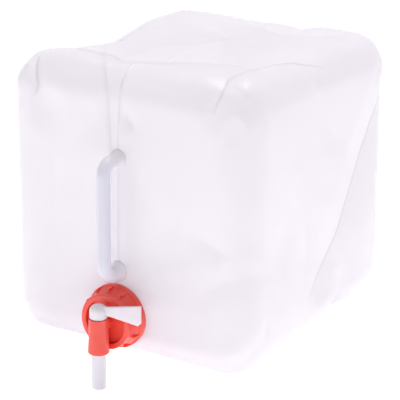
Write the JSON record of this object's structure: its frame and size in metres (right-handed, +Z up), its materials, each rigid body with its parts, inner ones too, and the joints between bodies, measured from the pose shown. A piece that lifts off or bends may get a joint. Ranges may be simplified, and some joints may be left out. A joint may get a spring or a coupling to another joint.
{
  "type": "collapsible water carrier",
  "caption": "Collapsible translucent plastic water carrier: soft cube body, moulded carry handle, screw cap ring and lever tap low on the front face.",
  "frame": {"origin": "centre of the base plane, under the middle of the container body", "axes": "+Z up, -Y the front face with the tap and the handle, +X to the right seen from the front"},
  "size_m": [0.227, 0.2961, 0.2515],
  "materials": {
    "body_plastic": "milky translucent, soft gloss",
    "neck_plastic": "milky translucent",
    "handle_plastic": "milky, thicker wall",
    "cap_red": "moulded satin",
    "tap_red": "moulded satin",
    "tap_white": "natural milky white, satin",
    "gasket_rubber": "soft foam"
  },
  "bodies": {
    "jug": {"front_shell": "body_plastic", "fold_walls": "body_plastic", "neck": "neck_plastic", "carry_handle": "handle_plastic"},
    "rear": {"rear_shell": "body_plastic"},
    "seal": {"cap_gasket": "gasket_rubber"},
    "ring": {"cap_ring": "cap_red"},
    "tap": {"tap_body": "tap_red"},
    "plug": {"tap_plug": "tap_white"}
  },
  "joints": [
    {"name": "rear_collapse", "type": "slide", "parent": "jug", "child": "rear", "axis": [0, -1, 0], "range_m": [0, 0.14], "deforming": ["fold_walls"]},
    {"name": "cap_lift", "type": "slide", "parent": "jug", "child": "seal", "axis": [0, -1, 0], "range_m": [0, 0.012]},
    {"name": "ring_turn", "type": "hinge", "parent": "seal", "child": "ring", "pos_m": [0, -0.13, 0.0406], "axis": [0, -1, 0], "range_deg": [0, 721]},
    {"name": "tap_swivel", "type": "hinge", "parent": "seal", "child": "tap", "pos_m": [0, -0.13, 0.0406], "axis": [0, -1, 0], "range_deg": [-120, 40]},
    {"name": "lever_turn", "type": "hinge", "parent": "tap", "child": "plug", "pos_m": [0, -0.1576, 0.0406], "axis": [0, 0, -1], "range_deg": [0, 90]}
  ],
  "couplings": [
    {"joint": "ring_turn", "follows": "cap_lift", "rad_per_m": 1047.2}
  ]
}
